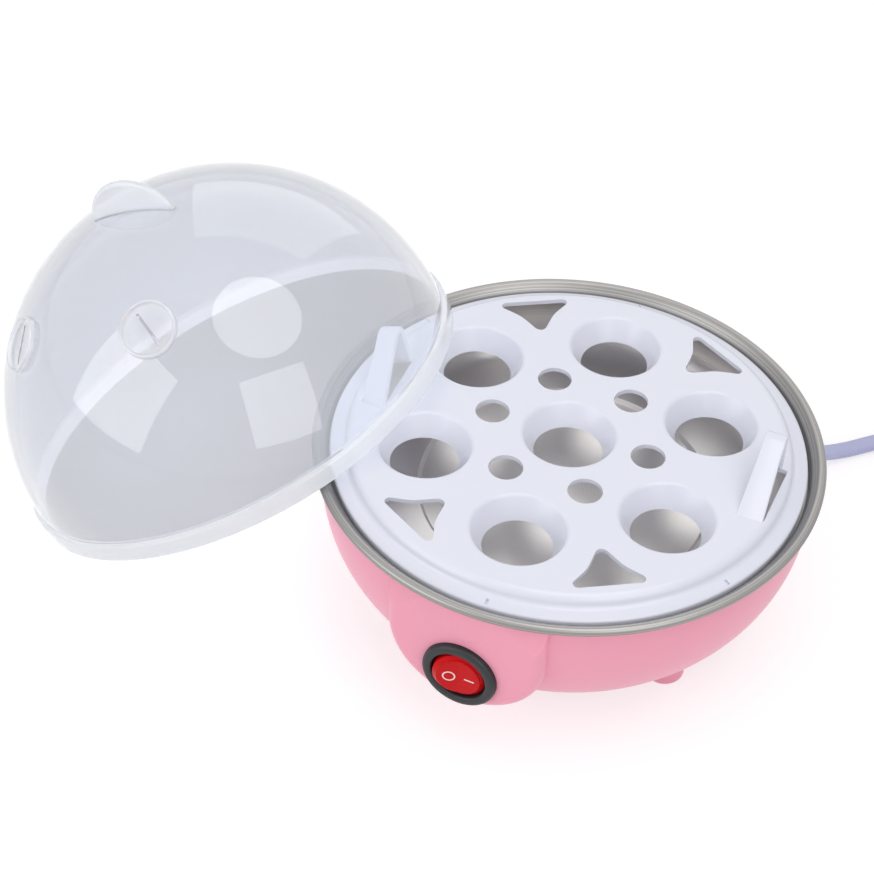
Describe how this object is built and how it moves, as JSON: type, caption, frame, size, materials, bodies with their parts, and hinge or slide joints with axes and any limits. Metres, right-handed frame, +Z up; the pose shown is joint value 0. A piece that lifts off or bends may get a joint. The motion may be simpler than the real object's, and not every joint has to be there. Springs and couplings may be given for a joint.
{
  "type": "egg cooker",
  "caption": "Electric egg cooker with a pink bowl base, steel dish, white egg tray and a clear dome lid leaning beside it.",
  "frame": {"origin": "on the table, under the centre of the base", "axes": "+Z up, -Y towards the viewer, +X to the viewer's right; the lid leans on the -X side"},
  "size_m": [0.3972, 0.1912, 0.1203],
  "materials": {
    "pink_plastic": "moulded, semi-gloss",
    "steel_sheet": "drawn and brushed",
    "white_plastic": "moulded, semi-gloss",
    "clear_plastic": "translucent, gloss",
    "black_plastic": "fine matte",
    "red_plastic": "translucent, gloss",
    "cast_plate": "as cast",
    "bare_steel": "bare",
    "brass_tabs": "stamped",
    "dark_moulding": "moulded",
    "woven_sleeve": "woven",
    "brown_insulation": "extruded",
    "blue_insulation": "extruded",
    "cord_jacket": "extruded",
    "pin_nickel": "plated",
    "lamp_glass": "clear"
  },
  "bodies": {
    "base": {"steel_basin": "steel_sheet", "outer_shell": "pink_plastic", "feet": "pink_plastic", "bottom_cover": "pink_plastic", "cover_screws": "bare_steel", "heater_plate": "cast_plate", "basin_stud": "bare_steel", "heating_element": "bare_steel", "element_terminals": "bare_steel", "clamp_bar": "bare_steel", "clamp_nut": "bare_steel", "thermostat": "dark_moulding", "thermostat_tabs": "brass_tabs", "thermal_fuse": "woven_sleeve", "fuse_clip": "bare_steel", "switch_housing": "black_plastic", "switch_terminals": "brass_tabs", "switch_lamp": "lamp_glass", "live_lead": "brown_insulation", "switched_lead": "brown_insulation", "element_lead": "brown_insulation", "neutral_lead": "blue_insulation", "fuse_lead": "blue_insulation", "strain_relief": "cord_jacket", "power_cord": "cord_jacket", "cord_coil": "cord_jacket", "cord_tie": "black_plastic", "cord_tail": "cord_jacket", "plug_body": "cord_jacket", "plug_pins": "pin_nickel"},
    "tray": {"egg_tray": "white_plastic"},
    "lid": {"lid": "clear_plastic"},
    "rocker": {"rocker": "red_plastic"}
  },
  "joints": [
    {"name": "tray_lift", "type": "slide", "parent": "base", "child": "tray", "axis": [0, 0, 1], "range_m": [0, 0.1]},
    {"name": "lid_lift", "type": "slide", "parent": "tray", "child": "lid", "axis": [0, 0, 1], "range_m": [0, 0.15]},
    {"name": "rocker_tilt", "type": "hinge", "parent": "base", "child": "rocker", "pos_m": [-0.03067, -0.06921, 0.0312], "axis": [0, 0, -1], "range_deg": [0, 18]}
  ]
}
